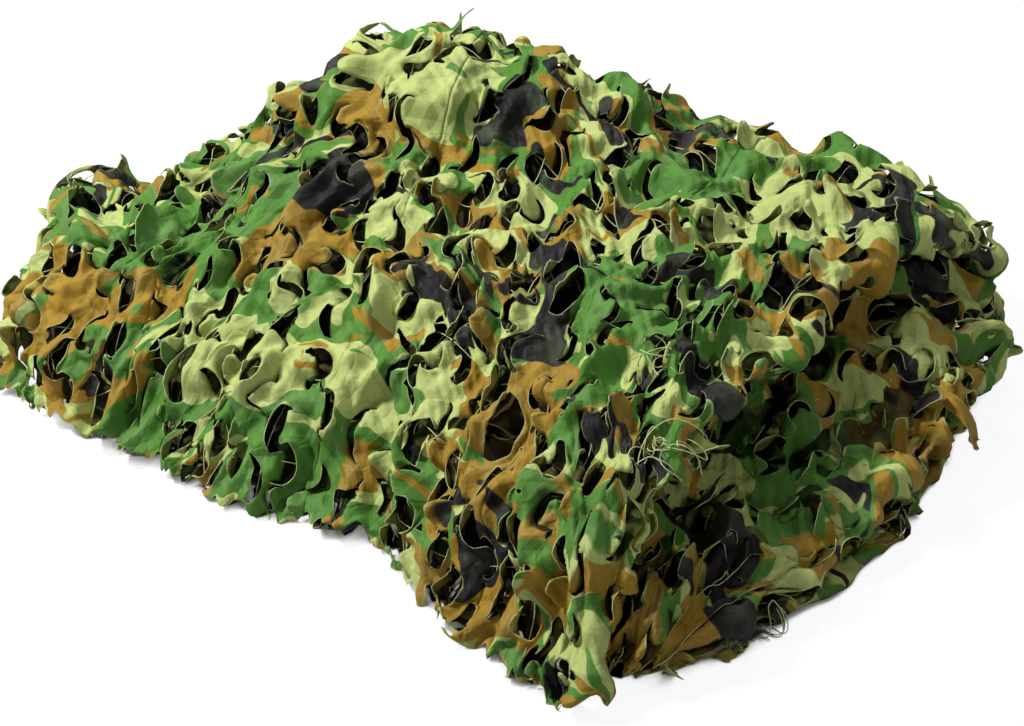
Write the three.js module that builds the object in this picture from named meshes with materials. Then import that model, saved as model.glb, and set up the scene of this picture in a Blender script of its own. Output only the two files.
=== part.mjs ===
// A camouflage net lying folded in a loose heap on a flat surface.
// Units are millimetres, +Z is up, and the origin is the middle of the heap's box on that surface.
// +X runs along the heap to its open end, and +Y across it.
//
// The net is one sheet of leaf-cut cloth, so it is one solid: rows of slits run across the sheet,
// and each slit gapes between a lifted leaf and a lower lip. From the hem at the closed end the
// sheet climbs over the heap as its outer layer, turns in at the rim over the hollow, and then runs
// back and forth in inner layers down to the bottom layer, which lies flat on the surface.
import * as THREE from "three";

// Driving dimensions.
const CLOTH = 2.5; // leaf cloth together with its backing mesh
const SLIT_COLUMNS = 3; // a slit is this many columns long
const SLIT_PERIOD = 4; // and the next one in its row starts this many columns on
const OUTER_COLUMNS = 50; // across the outer layer, hem to hem
const OUTER_ROWS = 20; // ribbons between rows of slits, along the outer layer
const FIRST_SLITS = 2; // the row, counted from the hem, that holds the first slits
const INNER_COLUMNS = 12;
const INNER_ROWS = 8;
const LEAF_LIFT = 16; // how far a leaf's tip stands off the sheet
const LIP_DROP = 2; // how far the lip under it hangs in
const GAPE = 14; // the slit's opening, measured along the sheet
const UNEVEN = 0.45; // leaves differ from each other by up to this share
const RIPPLE = 0.03; // of the outer layer's height, for each of two waves over it
const FOLD_ROWS = 3; // rows round each turn of the sheet

// Sections across the heap, from the hem at the closed end to the lip at the open end.
// Each stands on a line between its front and back foot, which bows by `bow` along X in the middle.
// Heights are over the surface, at HEIGHT_PLACES along that line.
const HEIGHT_PLACES = [0, 0.1, 0.3, 0.5, 0.7, 0.9, 1];
const SECTIONS = [
  { frontX: -466, frontY: -260, backX: -664, backY: 10, bow: -4, near: 2, nearTop: 2, middle: 2, farTop: 2, far: 2 },
  { frontX: -446, frontY: -276, backX: -650, backY: 58, bow: -8, near: 54, nearTop: 92, middle: 102, farTop: 98, far: 66 },
  { frontX: -360, frontY: -280, backX: -560, backY: 122, bow: -8, near: 72, nearTop: 118, middle: 126, farTop: 116, far: 82 },
  { frontX: -240, frontY: -274, backX: -456, backY: 236, bow: -4, near: 76, nearTop: 136, middle: 162, farTop: 204, far: 150 },
  { frontX: -116, frontY: -280, backX: -345, backY: 368, bow: 0, near: 82, nearTop: 154, middle: 214, farTop: 308, far: 222 },
  { frontX: 12, frontY: -242, backX: -172, backY: 404, bow: 0, near: 92, nearTop: 176, middle: 216, farTop: 282, far: 220 },
  { frontX: 132, frontY: -286, backX: -28, backY: 452, bow: 0, near: 114, nearTop: 192, middle: 210, farTop: 216, far: 184 },
  { frontX: 238, frontY: -304, backX: 140, backY: 520, bow: -18, near: 136, nearTop: 194, middle: 204, farTop: 206, far: 176 },
  { frontX: 300, frontY: -314, backX: 304, backY: 486, bow: -44, near: 130, nearTop: 180, middle: 198, farTop: 200, far: 158 },
  { frontX: 334, frontY: -290, backX: 344, backY: 430, bow: 34, near: 96, nearTop: 130, middle: 150, farTop: 150, far: 108 },
  { frontX: 364, frontY: -240, backX: 340, backY: 376, bow: 38, near: 56, nearTop: 74, middle: 84, farTop: 80, far: 60 },
];

// The layers, from the outer one down, in the order in which the sheet runs through them.
// inset is how far a layer's edges lie inside the feet, base their height over the surface, and
// share its rise over them as a share of its section's.
const LAYERS = [
  { from: 0, to: 8, share: 1, inset: 0, base: CLOTH / 2, turn: 20, rows: OUTER_ROWS, columns: OUTER_COLUMNS },
  { from: 8, to: 1.7, share: 0.78, inset: 27, base: 18, turn: 16, rows: INNER_ROWS + 5, columns: 16 },
  { from: 1.7, to: 9.2, share: 0.58, inset: 44, base: 18, turn: 14, rows: INNER_ROWS + 1, columns: INNER_COLUMNS },
  { from: 9.2, to: 1.9, share: 0.38, inset: 62, base: 15, turn: 12, rows: INNER_ROWS + 1, columns: INNER_COLUMNS },
  { from: 1.9, to: 10, share: 0.18, inset: 78, base: 8, turn: 10, rows: INNER_ROWS + 1, columns: INNER_COLUMNS },
  { from: 10, to: 0.8, share: 0, inset: 64, base: CLOTH / 2, turn: 0, rows: INNER_ROWS + 1, columns: INNER_COLUMNS },
];

// Below the rim the inner layers are pressed down, which leaves the hollow: by `depth` of their
// height at its middle, which fades over `stations` along the heap and `across` of its width.
const HOLLOW = { belowShare: 0.7, station: 8.7, stations: 2.2, along: 0.36, across: 0.32, depth: 0.72 };

// Catmull-Rom interpolation of evenly spaced values, held at its ends.
function spline(values, at) {
  const last = values.length - 1;
  const k = Math.min(Math.floor(at), last - 1);
  const u = at - k;
  const [a, b, c, d] = [k - 1, k, k + 1, k + 2].map((n) => values[Math.max(0, Math.min(last, n))]);
  return b + 0.5 * u * (c - a + u * (2 * a - 5 * b + 4 * c - d + u * (3 * (b - c) + d - a)));
}

function column(name, station) {
  return spline(SECTIONS.map((section) => section[name]), station);
}

// The outer layer's height over the surface at a share along a section's line.
function heightAt(heights, along) {
  const k = Math.max(1, HEIGHT_PLACES.findIndex((place) => place >= along - 1e-9));
  const within = (along - HEIGHT_PLACES[k - 1]) / (HEIGHT_PLACES[k] - HEIGHT_PLACES[k - 1]);
  return spline(heights, k - 1 + within);
}

// The shallow waves in the outer layer's height, as a share of it.
function ripple(station, along) {
  return RIPPLE * (Math.sin(2.7 * station + 7 * along) + Math.sin(1.9 * station - 15 * along + 2));
}

// How far the hollow presses an inner layer down, as a share of its height.
function pressed(share, station, along) {
  if (share > HOLLOW.belowShare) return 0;
  const overLength = (station - HOLLOW.station) / HOLLOW.stations;
  const overWidth = (along - HOLLOW.along) / HOLLOW.across;
  return HOLLOW.depth * Math.exp(-(overLength ** 2) - overWidth ** 2);
}

// Points moved to equal distances along the line that they make.
function spaced(points, count) {
  const length = [0];
  for (let i = 1; i < points.length; i++) length.push(length[i - 1] + points[i].distanceTo(points[i - 1]));
  const made = [];
  for (let n = 0, i = 1; n <= count; n++) {
    const target = (length[points.length - 1] * n) / count;
    while (i < points.length - 1 && length[i] < target) i++;
    const share = (target - length[i - 1]) / (length[i] - length[i - 1]);
    made.push(points[i - 1].clone().lerp(points[i], Math.min(1, share)));
  }
  return made;
}

// One row of points across the sheet.
const SAMPLES = 80;
function rowAt({ station, share, inset, base, columns }) {
  const front = new THREE.Vector2(column("frontX", station), column("frontY", station));
  const back = new THREE.Vector2(column("backX", station), column("backY", station));
  const bow = column("bow", station);
  const names = ["near", "nearTop", "middle", "farTop", "far"];
  const heights = [0, ...names.map((name) => column(name, station)), 0];
  const edge = inset / front.distanceTo(back);
  const points = [];
  for (let n = 0; n <= SAMPLES; n++) {
    const along = n / SAMPLES;
    const foot = front.clone().lerp(back, edge + (1 - 2 * edge) * along);
    const outer = heightAt(heights, along) * (1 + ripple(station, along));
    const rise = share * outer * (1 - pressed(share, station, along));
    points.push(new THREE.Vector3(foot.x + bow * Math.sin(Math.PI * along), foot.y, base + rise));
  }
  return spaced(points, columns);
}

// Stations that lie evenly along the middle of a layer.
function evenStations({ from, to, rows, ...layer }) {
  const fine = 120;
  const marks = [];
  for (let n = 0; n <= fine; n++) {
    const station = from + ((to - from) * n) / fine;
    const middle = rowAt({ ...layer, station, columns: 2 })[1];
    const before = marks[n - 1];
    const length = before ? before.length + middle.distanceTo(before.middle) : 0;
    marks.push({ station, middle, length });
  }
  const total = marks[fine].length;
  return Array.from({ length: rows + 1 }, (_, i) => {
    const target = (total * i) / rows;
    const n = Math.max(1, marks.findIndex((mark) => mark.length >= target - 1e-6));
    const [low, high] = [marks[n - 1], marks[n]];
    return low.station + ((high.station - low.station) * (target - low.length)) / (high.length - low.length);
  });
}

// Every row of the sheet, hem to end, with the turns between layers.
function sheetRows() {
  const rows = [];
  LAYERS.forEach((layer, n) => {
    for (const station of evenStations(layer)) rows.push({ points: rowAt({ ...layer, station }), outer: n === 0 });
    const next = LAYERS[n + 1];
    if (!next) return;
    const columns = Math.round((layer.columns + next.columns) / 2);
    const above = rowAt({ ...layer, station: layer.to, columns });
    const below = rowAt({ ...next, station: layer.to, columns });
    const side = Math.sign(layer.to - layer.from);
    for (let k = 1; k <= FOLD_ROWS; k++) {
      const angle = (Math.PI * k) / (FOLD_ROWS + 1);
      const bulge = new THREE.Vector3(side * layer.turn * Math.sin(angle), 0, 0);
      const points = above.map((point, j) => point.clone().lerp(below[j], (1 - Math.cos(angle)) / 2).add(bulge));
      rows.push({ points, outer: false });
    }
  });
  return rows;
}

// A repeatable number from -1 to 1 for each leaf.
function vary(row, slit) {
  const wave = Math.sin(row * 12.9898 + slit * 78.233) * 43758.5453;
  return 2 * (wave - Math.floor(wave)) - 1;
}

// The sheet's middle surface: its points, and triangles that turn left seen from outside.
// A row that holds slits has two points at each place inside a slit: the leaf's, on the ribbon
// before it, and the lower lip's, on the ribbon after it.
function middleSurface(rows) {
  const points = [];
  const add = (point) => points.push(point) - 1;
  const before = rows.map((row) => row.points.map(add));
  const after = before.map((indices) => [...indices]);
  rows.forEach((row, i) => {
    if (i < FIRST_SLITS || !row.outer || !rows[i + 1].outer) return;
    const start = 2 + (i % 2) * (SLIT_PERIOD / 2);
    for (let j = start; j + SLIT_COLUMNS < row.points.length - 1; j += SLIT_PERIOD) openSlit(i, j);
  });

  function openSlit(i, j) {
    const size = 1 + UNEVEN * vary(i, j);
    for (let k = 1; k < SLIT_COLUMNS; k++) {
      const place = rows[i].points[j + k];
      const along = rows[i + 1].points[j + k].clone().sub(rows[i - 1].points[j + k]).normalize();
      const across = rows[i].points[j + k + 1].clone().sub(rows[i].points[j + k - 1]).normalize();
      const outward = along.clone().cross(across).normalize();
      const tip = size * (1 + 0.35 * vary(i + k, j));
      const leaf = place.clone().addScaledVector(outward, LEAF_LIFT * tip);
      const lip = place.clone().addScaledVector(outward, -LIP_DROP * size);
      leaf.addScaledVector(along, (-GAPE / 2) * size);
      lip.addScaledVector(along, (GAPE / 2) * size);
      points[before[i][j + k]] = leaf;
      after[i][j + k] = add(lip);
    }
  }

  const triangles = [];
  for (let i = 0; i + 1 < rows.length; i++) stitch(after[i], before[i + 1], triangles);
  return { points, triangles };
}

// Triangles between two rows of points, which may differ in number.
function stitch(lower, upper, triangles) {
  const [m, n] = [lower.length - 1, upper.length - 1];
  for (let a = 0, b = 0; a < m || b < n; ) {
    const stepLower = b === n || (a < m && (a + 1) / m <= (b + 1) / n);
    if (stepLower) triangles.push([lower[a], lower[a + 1], upper[b]]);
    else triangles.push([lower[a], upper[b + 1], upper[b]]);
    if (stepLower) a++;
    else b++;
  }
}

// A closed solid: the surface moved half the cloth's thickness each way, with walls at every edge.
function thicken({ points, triangles }, thickness) {
  const normals = points.map(() => new THREE.Vector3());
  for (const [a, b, c] of triangles) {
    const ab = points[b].clone().sub(points[a]);
    const normal = ab.cross(points[c].clone().sub(points[a]));
    for (const corner of [a, b, c]) normals[corner].add(normal);
  }
  const count = points.length;
  const position = [];
  for (const side of [0.5, -0.5])
    points.forEach((point, i) => {
      const moved = point.clone().addScaledVector(normals[i].normalize(), side * thickness);
      position.push(moved.x, moved.y, Math.max(0, moved.z));
    });
  const index = [];
  const edges = new Set(triangles.flatMap(([a, b, c]) => [`${a},${b}`, `${b},${c}`, `${c},${a}`]));
  for (const [a, b, c] of triangles) {
    index.push(a, b, c, a + count, c + count, b + count);
    for (const [from, to] of [[a, b], [b, c], [c, a]])
      if (!edges.has(`${to},${from}`))
        index.push(to, from, from + count, to, from + count, to + count);
  }
  const geometry = new THREE.BufferGeometry();
  geometry.setAttribute("position", new THREE.Float32BufferAttribute(position, 3));
  geometry.setIndex(index);
  geometry.computeVertexNormals();
  return geometry;
}

const leafCloth = new THREE.MeshStandardMaterial({ color: 0x6f8f45, roughness: 0.62, metalness: 0 });
const net = new THREE.Mesh(thicken(middleSurface(sheetRows()), CLOTH), leafCloth);
net.name = "leaf_cut_net";

// The origin goes to the middle of the heap's box, on the surface.
net.geometry.computeBoundingBox();
const middle = net.geometry.boundingBox.getCenter(new THREE.Vector3());
net.position.set(-middle.x, -middle.y, 0);

const heap = new THREE.Group();
heap.add(net);
export default heap;
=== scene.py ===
"""Dresses the folded camouflage net: its leaf-cut cloth, the backing cords and the stage."""

import math
from typing import NamedTuple

import bmesh
import bpy
import numpy as np
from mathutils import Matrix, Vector


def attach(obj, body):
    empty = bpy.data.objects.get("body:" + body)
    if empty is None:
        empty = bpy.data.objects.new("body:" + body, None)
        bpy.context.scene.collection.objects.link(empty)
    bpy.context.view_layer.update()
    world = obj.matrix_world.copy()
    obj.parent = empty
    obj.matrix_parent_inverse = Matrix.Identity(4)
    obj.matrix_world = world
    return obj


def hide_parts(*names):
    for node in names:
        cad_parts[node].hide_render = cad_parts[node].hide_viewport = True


bl_info = {
    "name": "Folded camouflage net",
    "version": (1, 0, 0),
    "blender": (4, 5, 0),
    "location": "3D View > Sidebar > Net",
    "description": "Leaf-cut camouflage net, folded into a loose heap",
    "category": "Object",
}

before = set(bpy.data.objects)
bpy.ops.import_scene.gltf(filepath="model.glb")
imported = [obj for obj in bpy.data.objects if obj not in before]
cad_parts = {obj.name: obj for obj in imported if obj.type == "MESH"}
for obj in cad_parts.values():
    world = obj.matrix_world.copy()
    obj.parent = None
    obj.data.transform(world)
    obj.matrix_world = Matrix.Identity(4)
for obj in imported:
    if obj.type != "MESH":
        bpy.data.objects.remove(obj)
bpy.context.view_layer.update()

MM = 0.001
SEED = 41

# The heap's form, as in the part: millimetres, before the origin moves to the middle of its box.
HEAP_SHIFT = (131.6, -101.2)
# A section is a line across the heap, from a front to a back point, with a bow and five heights
# over it; HEIGHT_PLACES are the heights' shares of the line, with its two ends.
HEIGHT_PLACES = np.array([0, 0.1, 0.3, 0.5, 0.7, 0.9, 1])
SECTION_COLUMNS = (
    "front_x", "front_y", "back_x", "back_y", "bow",
    "near", "near_top", "middle", "far_top", "far",
)
SECTIONS = np.array([
    (-466, -260, -664, 10, -4, 2, 2, 2, 2, 2),
    (-446, -276, -650, 58, -8, 54, 92, 102, 98, 66),
    (-360, -280, -560, 122, -8, 72, 118, 126, 116, 82),
    (-240, -274, -456, 236, -4, 76, 136, 162, 204, 150),
    (-116, -280, -345, 368, 0, 82, 154, 214, 308, 222),
    (12, -242, -172, 404, 0, 92, 176, 216, 282, 220),
    (132, -286, -28, 452, 0, 114, 192, 210, 216, 184),
    (238, -304, 140, 520, -18, 136, 194, 204, 206, 176),
    (300, -314, 304, 486, -44, 130, 180, 198, 200, 158),
    (334, -290, 344, 430, 34, 96, 130, 150, 150, 108),
    (364, -240, 340, 376, 38, 56, 74, 84, 80, 60),
], dtype=float)
# Each layer: the stations it runs between, its share of the height, its edges' inset and base
# height, and how far its turn bulges.
LAYERS = (
    (0, 8, 1, 0, 1.25, 20),
    (8, 1.7, 0.78, 27, 18, 16),
    (1.7, 9.2, 0.58, 44, 18, 14),
    (9.2, 1.9, 0.38, 62, 15, 12),
    (1.9, 10, 0.18, 78, 8, 10),
    (10, 0.8, 0, 64, 1.25, 0),
)
# The hollow at the open end: the layers below it sink round a station and a share across.
HOLLOW = {"below_share": 0.7, "station": 8.7, "stations": 2.2, "along": 0.36, "across": 0.32, "depth": 0.72}
RIPPLE = 0.03  # share of the height that the heap's surface rises and falls by
ACROSS = 160  # steps across a row of the drape, and along a layer while it is measured

# Slits: name, share of all, and points in millimetres, across and along the net. A leaf is what a
# slit and its chord enclose, and it folds along the chord.
LEAF_CUTS = (
    ("wave", 0.28, (
        (-42, 0), (-36, 12), (-24, 17), (-11, 11), (0, 0), (11, -11), (24, -17), (36, -12), (42, 0))),
    ("tongue", 0.20, (
        (-35, 0), (-25, -2), (-18, 5), (-17, 17), (-10, 27), (2, 28), (12, 24), (17, 13), (19, 4),
        (28, -1), (36, 0))),
    ("hook", 0.18, (
        (-41, 0), (-35, -9), (-20, -12), (-6, -8), (2, 3), (9, 14), (22, 19), (33, 14), (37, 2))),
    ("bow", 0.16, (
        (-39, 0), (-30, 10), (-15, 18), (1, 20), (16, 16), (31, 7), (39, 0))),
    ("point", 0.18, (
        (-38, 0), (-27, 3), (-16, 10), (-7, 21), (-1, 30), (4, 24), (10, 11), (20, 2), (37, 0))),
)
CUT_PITCH = 0.094  # the slit pitch that those points are drawn for
CUT_SAMPLES = 240  # points along a slit's line
FEWEST_SAMPLES = 100  # of them on the cloth, where a slit crosses the hem
FEWEST_SPOTS = 6
# How the leaves lie: the degrees they fold up or down by, and the share that does each.
FOLD_UP = (16, 85)
FOLD_DOWN = (-52, -20)
UP_OR_DOWN = (0.7, 0.3)
TIP_BEND = (-100, 45)  # degrees that a leaf's tip bends by
LONGEST_SLIDE = 0.016  # how far a leaf's edge may move along the net
DEEPEST_LEAF = -0.013
TALLEST_LEAF = 1.35  # of the leaf lift
# A vertex moves with a leaf when more than this share of its faces is the leaf's.
LEAF_SHARE = 0.99
SLIT_SHARE = 0.45
SLIT_DIP = -0.004  # how far the cloth beside a slit sinks
LEAF_EASE = 0.045  # how far a leaf's lift is felt in the cloth round it
EASE_ROUNDS = 150
# Creases of the gathered cloth: the spacing of a family of parallel creases along and across the
# net, their height in millimetres, and where they start.
GATHERS = (
    (118, 900, 7.5, 0.3), (87, -420, 6.0, 1.9), (61, 330, 4.4, 4.1), (310, 128, 6.0, 2.2),
    (-240, 93, 5.0, 5.0), (150, -150, 5.0, 0.9), (47, -95, 2.6, 3.3), (-64, 52, 2.6, 1.1),
    (36, 140, 1.3, 2.7), (90, 31, 1.3, 0.2),
)
DEEPEST_GATHER = -0.012
GATHER_LIFT = 0.004  # how far gathered cloth stands off the heap
# The hem: how far in it is eased and drawn, and the length, depth and start of its lobes.
HEM_EASE = 0.05
HEM_DRAWN_IN = 0.007
HEM_LOBES = ((0.0141, 0.004, 0.0), (0.0067, 0.004, 1.0), (0.0041, 0.003, 2.0))
HEM_OVERHANG = 0.016  # the most that a leaf reaches past the hem
HEM_TILT = 0.12
END_EASE = 0.03  # how near to its ends a stretch keeps its place along the sheet
END_SETTLE = 0.06  # how near to its end a raised stretch lies down
CLOTH_LOWEST = 0.0009
CORD_LOWEST = 0.002
CORD_STEP = 0.014  # between two points of a cord
CORD_MARGIN = 0.02  # between a cord's end and the hem
LOOP_POINTS = 15
# Knots of loose thread: layer, place along it from its start in metres, share across, reach and
# number of loops.
TANGLES = ((0, 1.04, 0.24, 0.035, 9), (5, 0.0, 0.12, 0.03, 8), (0, 0.97, 0.34, 0.03, 4))
# Where each tone of the print gathers: places on the heap and their reach, in metres.
TONE_PATCHES = {
    "dark": (
        (-0.112, -0.104, 0.201, 0.045), (0.001, 0.244, 0.237, 0.045), (0.116, 0.157, 0.201, 0.05),
        (0.193, -0.145, 0.211, 0.075), (0.375, 0.23, 0.2, 0.05), (0.43, -0.015, 0.199, 0.045),
        (-0.212, -0.338, 0.05, 0.05), (0.267, -0.329, 0.101, 0.045), (0.5, 0.06, 0.1, 0.05),
        (0.43, -0.22, 0.05, 0.04),
    ),
    "brown": (
        (-0.268, -0.336, 0.082, 0.09), (0.239, -0.272, 0.134, 0.08), (0.115, 0.165, 0.244, 0.05),
        (0.428, 0.016, 0.205, 0.06), (-0.105, -0.161, 0.143, 0.07), (0.274, -0.389, 0.007, 0.06),
        (0.463, -0.343, 0.018, 0.06), (-0.11, 0.007, 0.238, 0.06), (0.512, 0.075, 0.075, 0.06),
        (0.38, -0.35, 0.03, 0.04), (0.5, -0.16, 0.05, 0.028),
    ),
    "light": (
        (0.287, 0.145, 0.172, 0.09), (0.132, -0.258, 0.116, 0.07), (-0.072, -0.278, 0.109, 0.07),
        (-0.098, 0.044, 0.297, 0.06), (0.43, -0.13, 0.07, 0.04), (0.4, -0.3, 0.03, 0.035),
    ),
    "green": (
        (-0.229, -0.199, 0.129, 0.1), (0.28, -0.14, 0.224, 0.06), (-0.126, -0.351, 0.036, 0.06),
        (0.049, -0.334, 0.042, 0.07), (0.288, 0.338, 0.183, 0.07), (0.199, 0.115, 0.22, 0.045),
        (0.45, -0.06, 0.1, 0.07),
    ),
}


class NetSizes(bpy.types.PropertyGroup):
    """Sizes of the cloth, its slits and its cords"""

    ribbon: bpy.props.FloatProperty(
        name="Ribbon", description="Cloth between two rows of slits",
        default=0.035, unit="LENGTH", subtype="DISTANCE")
    slit_pitch: bpy.props.FloatProperty(
        name="Slit pitch", description="From one slit to the next in its row",
        default=0.084, unit="LENGTH", subtype="DISTANCE")
    mesh_step: bpy.props.FloatProperty(
        name="Mesh step", description="Size of the outer cloth's faces",
        default=0.0037, unit="LENGTH", subtype="DISTANCE")
    fullness: bpy.props.FloatProperty(
        name="Fullness", description="Cloth's flat size over the size it is gathered to",
        default=1.12, subtype="FACTOR")
    lift: bpy.props.FloatProperty(
        name="Leaf lift", description="How far a tall leaf's tip stands off the net",
        default=0.020, unit="LENGTH", subtype="DISTANCE")
    gape: bpy.props.FloatProperty(
        name="Gape", description="How far each side of a slit draws back",
        default=0.0085, unit="LENGTH", subtype="DISTANCE")
    cloth: bpy.props.FloatProperty(
        name="Cloth", description="Thickness of the leaf cloth",
        default=0.0006, unit="LENGTH", subtype="DISTANCE")
    cord: bpy.props.FloatProperty(
        name="Cord", description="Diameter of the backing cords",
        default=0.0011, unit="LENGTH", subtype="DISTANCE")
    cord_pitch: bpy.props.FloatProperty(
        name="Cord pitch", description="Between two backing cords",
        default=0.096, unit="LENGTH", subtype="DISTANCE")


class NetColours(bpy.types.PropertyGroup):
    """The print's four tones and the thread"""

    light: bpy.props.FloatVectorProperty(
        name="Light green", description="Palest tone of the print",
        default=(0.32, 0.37, 0.12), subtype="COLOR", size=3, min=0, max=1)
    green: bpy.props.FloatVectorProperty(
        name="Green", description="Middle tone of the print",
        default=(0.06, 0.158, 0.024), subtype="COLOR", size=3, min=0, max=1)
    brown: bpy.props.FloatVectorProperty(
        name="Brown", description="Brown of the print",
        default=(0.235, 0.142, 0.016), subtype="COLOR", size=3, min=0, max=1)
    dark: bpy.props.FloatVectorProperty(
        name="Dark", description="Near black of the print",
        default=(0.011, 0.009, 0.0105), subtype="COLOR", size=3, min=0, max=1)
    thread: bpy.props.FloatVectorProperty(
        name="Thread", description="Cut edges and backing cords",
        default=(0.37, 0.41, 0.18), subtype="COLOR", size=3, min=0, max=1)


# ---- The drape: where each place of the sheet lies on the heap ----

def spline(values, at):
    """Catmull-Rom interpolation of evenly spaced values, held at its ends."""
    values = np.asarray(values, dtype=float)
    last = len(values) - 1
    at = np.asarray(at, dtype=float)
    k = np.minimum(np.floor(at).astype(int), last - 1)
    u = at - k
    a, b, c, d = (values[np.clip(k + n, 0, last)] for n in (-1, 0, 1, 2))
    return b + 0.5 * u * (c - a + u * (2 * a - 5 * b + 4 * c - d + u * (3 * (b - c) + d - a)))


def section_value(name, station):
    return spline(SECTIONS[:, SECTION_COLUMNS.index(name)], station)


def height_over_surface(station, along):
    """The outer layer's height at shares along a section's line."""
    names = SECTION_COLUMNS[5:]
    heights = np.array([0, *(section_value(name, station) for name in names), 0])
    k = np.clip(np.searchsorted(HEIGHT_PLACES, along - 1e-9), 1, len(HEIGHT_PLACES) - 1)
    within = (along - HEIGHT_PLACES[k - 1]) / (HEIGHT_PLACES[k] - HEIGHT_PLACES[k - 1])
    ripple = np.sin(2.7 * station + 7 * along) + np.sin(1.9 * station - 15 * along + 2)
    return spline(heights, k - 1 + within) * (1 + RIPPLE * ripple)


def drape_row(station, share, inset, base, columns):
    """Points evenly across one row of a layer."""
    front = np.array([section_value("front_x", station), section_value("front_y", station)])
    back = np.array([section_value("back_x", station), section_value("back_y", station)])
    edge = inset / np.linalg.norm(back - front)
    along = np.linspace(0, 1, ACROSS + 1)
    foot = front + (back - front) * (edge + (1 - 2 * edge) * along)[:, None]
    rise = share * height_over_surface(station, along)
    if share <= HOLLOW["below_share"]:
        over_length = (station - HOLLOW["station"]) / HOLLOW["stations"]
        over_width = (along - HOLLOW["along"]) / HOLLOW["across"]
        rise = rise * (1 - HOLLOW["depth"] * np.exp(-(over_length**2) - over_width**2))
    bow = section_value("bow", station) * np.sin(np.pi * along)
    points = np.column_stack([foot[:, 0] + bow, foot[:, 1], base + rise])
    return evenly(points, columns)


def evenly(points, count):
    """The line through the points again, in count equal steps."""
    length = np.r_[0, np.cumsum(np.linalg.norm(np.diff(points, axis=0), axis=1))]
    places = np.linspace(0, length[-1], count + 1)
    return np.column_stack([np.interp(places, length, points[:, k]) for k in range(3)])


def layer_stations(start, end, step, *shape):
    """Stations evenly along the middle of a layer, about step millimetres apart."""
    stations = np.linspace(start, end, ACROSS + 1)
    middles = np.array([drape_row(s, *shape, 2)[1] for s in stations])
    length = np.r_[0, np.cumsum(np.linalg.norm(np.diff(middles, axis=0), axis=1))]
    count = max(2, round(length[-1] / step))
    return np.interp(np.linspace(0, length[-1], count), length, stations)


def folded_drape(step=9.0, turn_rows=7):
    """The whole sheet, hem to end: its rows of points, and each layer's first and last row."""
    rows = []
    spans = []
    for n, (start, end, share, inset, base, turn) in enumerate(LAYERS):
        first = len(rows)
        for station in layer_stations(start, end, step, share, inset, base):
            rows.append(drape_row(station, share, inset, base, ACROSS))
        spans.append((first, len(rows) - 1))
        if n + 1 < len(LAYERS):
            below = drape_row(end, *LAYERS[n + 1][2:5], ACROSS)
            side = math.copysign(turn, end - start)
            for k in range(1, turn_rows + 1):
                angle = math.pi * k / (turn_rows + 1)
                above = rows[spans[-1][1]]
                row = above * (1 + math.cos(angle)) / 2 + below * (1 - math.cos(angle)) / 2
                row[:, 0] += side * math.sin(angle)
                rows.append(row)
    drape = np.array(rows)
    drape[:, :, 0] += HEAP_SHIFT[0]
    drape[:, :, 1] += HEAP_SHIFT[1]
    return drape * MM, spans


class Drape:
    """Finds the place and the outward direction on the heap for places on the sheet."""

    def __init__(self):
        self.points, self.spans = folded_drape()
        step = np.linalg.norm(np.diff(self.points[:, 20:-20:20], axis=0), axis=2).mean(axis=1)
        self.length = np.r_[0, np.cumsum(step)]
        self.girth = np.linalg.norm(np.diff(self.points, axis=1), axis=2).sum(axis=1)
        along = np.gradient(self.points, axis=0)
        across = np.gradient(self.points, axis=1)
        outward = np.cross(along, across)
        self.outward = outward / np.linalg.norm(outward, axis=2, keepdims=True)

    def layer(self, n):
        """Where a layer starts and ends along the sheet."""
        first, last = self.spans[n]
        return self.length[first], self.length[last]

    def girth_at(self, along):
        return np.interp(along, self.length, self.girth)

    def lookup(self, table, along, across):
        """A table's values, smoothly between its rows and columns."""
        rows, columns = table.shape[:2]
        r = np.interp(along, self.length, np.arange(rows))
        c = np.clip(across, 0, 1) * (columns - 1)
        result = 0
        r0 = np.clip(np.floor(r).astype(int), 0, rows - 2)
        c0 = np.clip(np.floor(c).astype(int), 0, columns - 2)
        for dr, weight_r in enumerate(catmull_weights(r - r0)):
            for dc, weight_c in enumerate(catmull_weights(c - c0)):
                rr = np.clip(r0 + dr - 1, 0, rows - 1)
                cc = np.clip(c0 + dc - 1, 0, columns - 1)
                result = result + table[rr, cc] * (weight_r * weight_c)[:, None]
        return result

    def place(self, along, across):
        return self.lookup(self.points, along, across)

    def out(self, along, across):
        found = self.lookup(self.outward, along, across)
        return found / np.linalg.norm(found, axis=1, keepdims=True)


def catmull_weights(u):
    """The shares of the four neighbours of a place between the middle two."""
    return (
        0.5 * (-u + 2 * u**2 - u**3),
        0.5 * (2 - 5 * u**2 + 3 * u**3),
        0.5 * (u + 4 * u**2 - 3 * u**3),
        0.5 * (-(u**2) + u**3),
    )


def creased(phase):
    """A zigzag between -pi/2 and pi/2, with its corners barely rounded."""
    return np.arcsin(0.99 * np.sin(phase))


def gathered(p, q):
    """How far the gathers stand off the heap, as flat facets between creases, for flat places."""
    warp_p = 0.012 * np.sin(31 * q + 1.3) + 0.009 * np.sin(17 * p - 23 * q)
    warp_q = 0.014 * np.sin(27 * p + 0.4) + 0.008 * np.sin(21 * q + 13 * p)
    height = np.zeros_like(p)
    for long_p, long_q, tall, start in GATHERS:
        phase = 2 * math.pi * ((p + warp_p) / (long_p * MM) + (q + warp_q) / (long_q * MM)) + start
        height += tall * MM * creased(phase) * 2 / math.pi
    return height


# ---- Cutting the leaves ----

class Run(NamedTuple):
    """A stretch of the sheet, from start to end along it, and how it is cut and toned."""

    name: str
    start: float
    end: float
    step: float  # size of its faces
    wave: float = 0.0  # share of the gathers' height
    lively: float = 0.0  # how far its leaves fold
    dark: float = 0.0  # how far its print leans to the dark tone; on the inner layers this is painted shade
    sink: float = 0.0  # how far it lies below its layer
    painted_shade: float = 0.0  # painted shade: how much darker its colour is made, deep in the heap


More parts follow.
